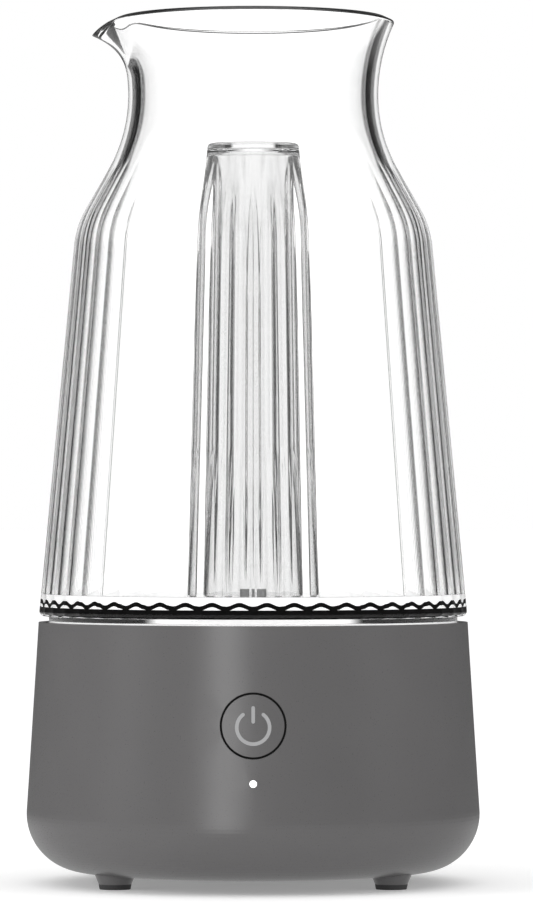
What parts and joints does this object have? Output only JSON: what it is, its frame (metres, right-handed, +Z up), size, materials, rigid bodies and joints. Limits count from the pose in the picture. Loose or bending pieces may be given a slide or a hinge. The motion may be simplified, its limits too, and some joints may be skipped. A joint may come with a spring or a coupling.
{
  "type": "electric wine aerating carafe",
  "caption": "Clear fluted carafe with a pouring lip and a fluted centre column, on a round battery base whose magnet drive circulates and aerates the wine.",
  "frame": {"origin": "centre of the base at table level, under the feet", "axes": "+Z up; the power button faces -Y; the pouring lip points to -X"},
  "size_m": [0.1448, 0.1448, 0.2769],
  "materials": {
    "clear_glass": "clear, polished",
    "seal_black": "matte silicone",
    "pump_grey": "satin",
    "pin_white": "polished ceramic look",
    "impeller_white": "satin",
    "magnet_metal": "nickel plated",
    "base_grey": "soft-touch matte",
    "deck_grey": "matte",
    "cover_dark": "matte",
    "screw_steel": "zinc plated",
    "pad_rubber": "matte",
    "symbol_light": "satin",
    "guide_black": "matte",
    "lens_white": "milky, diffusing",
    "board_green": "solder mask",
    "chip_black": "matte moulded",
    "plunger_grey": "satin",
    "socket_steel": "plated",
    "cell_wrap": "shrink wrap",
    "motor_steel": "zinc plated",
    "bracket_steel": "plated",
    "hub_plastic": "satin",
    "lead_insulation": "insulated wire"
  },
  "bodies": {
    "base": {"base_shell": "base_grey", "base_deck": "deck_grey", "bottom_cover": "cover_dark", "cover_screws": "screw_steel", "foot_pads": "pad_rubber", "button_guide": "guide_black", "pilot_lens": "lens_white", "pilot_led": "lens_white", "control_board": "board_green", "board_parts": "chip_black", "board_screws": "screw_steel", "switch_body": "chip_black", "inlet_socket": "socket_steel", "inlet_board": "board_green", "inlet_screws": "screw_steel", "battery_cells": "cell_wrap", "battery_holder": "cover_dark", "motor": "motor_steel", "motor_bracket": "bracket_steel", "motor_screws": "screw_steel", "bracket_screws": "screw_steel", "motor_leads": "lead_insulation", "battery_leads": "lead_insulation", "inlet_leads": "lead_insulation"},
    "carafe": {"carafe_body": "clear_glass", "carafe_floor": "clear_glass", "floor_seal": "seal_black", "pump_housing": "pump_grey", "impeller_pin": "pin_white"},
    "column": {"aerator_column": "clear_glass"},
    "pump_rotor": {"impeller": "impeller_white", "impeller_magnets": "magnet_metal"},
    "drive_rotor": {"motor_shaft": "motor_steel", "drive_hub": "hub_plastic", "drive_magnets": "magnet_metal"},
    "button": {"power_button": "base_grey", "power_symbol": "symbol_light", "switch_plunger": "plunger_grey"}
  },
  "joints": [
    {"name": "carafe_lift", "type": "slide", "parent": "base", "child": "carafe", "axis": [0, 0, 1], "range_m": [0, 0.1]},
    {"name": "column_lift", "type": "slide", "parent": "carafe", "child": "column", "axis": [0, 0, 1], "range_m": [0, 0.2]},
    {"name": "drive_spin", "type": "hinge", "parent": "base", "child": "drive_rotor", "pos_m": [0, 0, 0.06], "axis": [0, 0, 1], "continuous": true},
    {"name": "impeller_spin", "type": "hinge", "parent": "carafe", "child": "pump_rotor", "pos_m": [0, 0, 0.078], "axis": [0, 0, 1], "continuous": true},
    {"name": "button_press", "type": "slide", "parent": "base", "child": "button", "axis": [0, 1, 0], "range_m": [0, 0.0008], "stiffness_N_per_m": 1500, "springref_m": -0.0003}
  ],
  "couplings": [
    {"joint": "impeller_spin", "follows": "drive_spin", "ratio": 1}
  ]
}
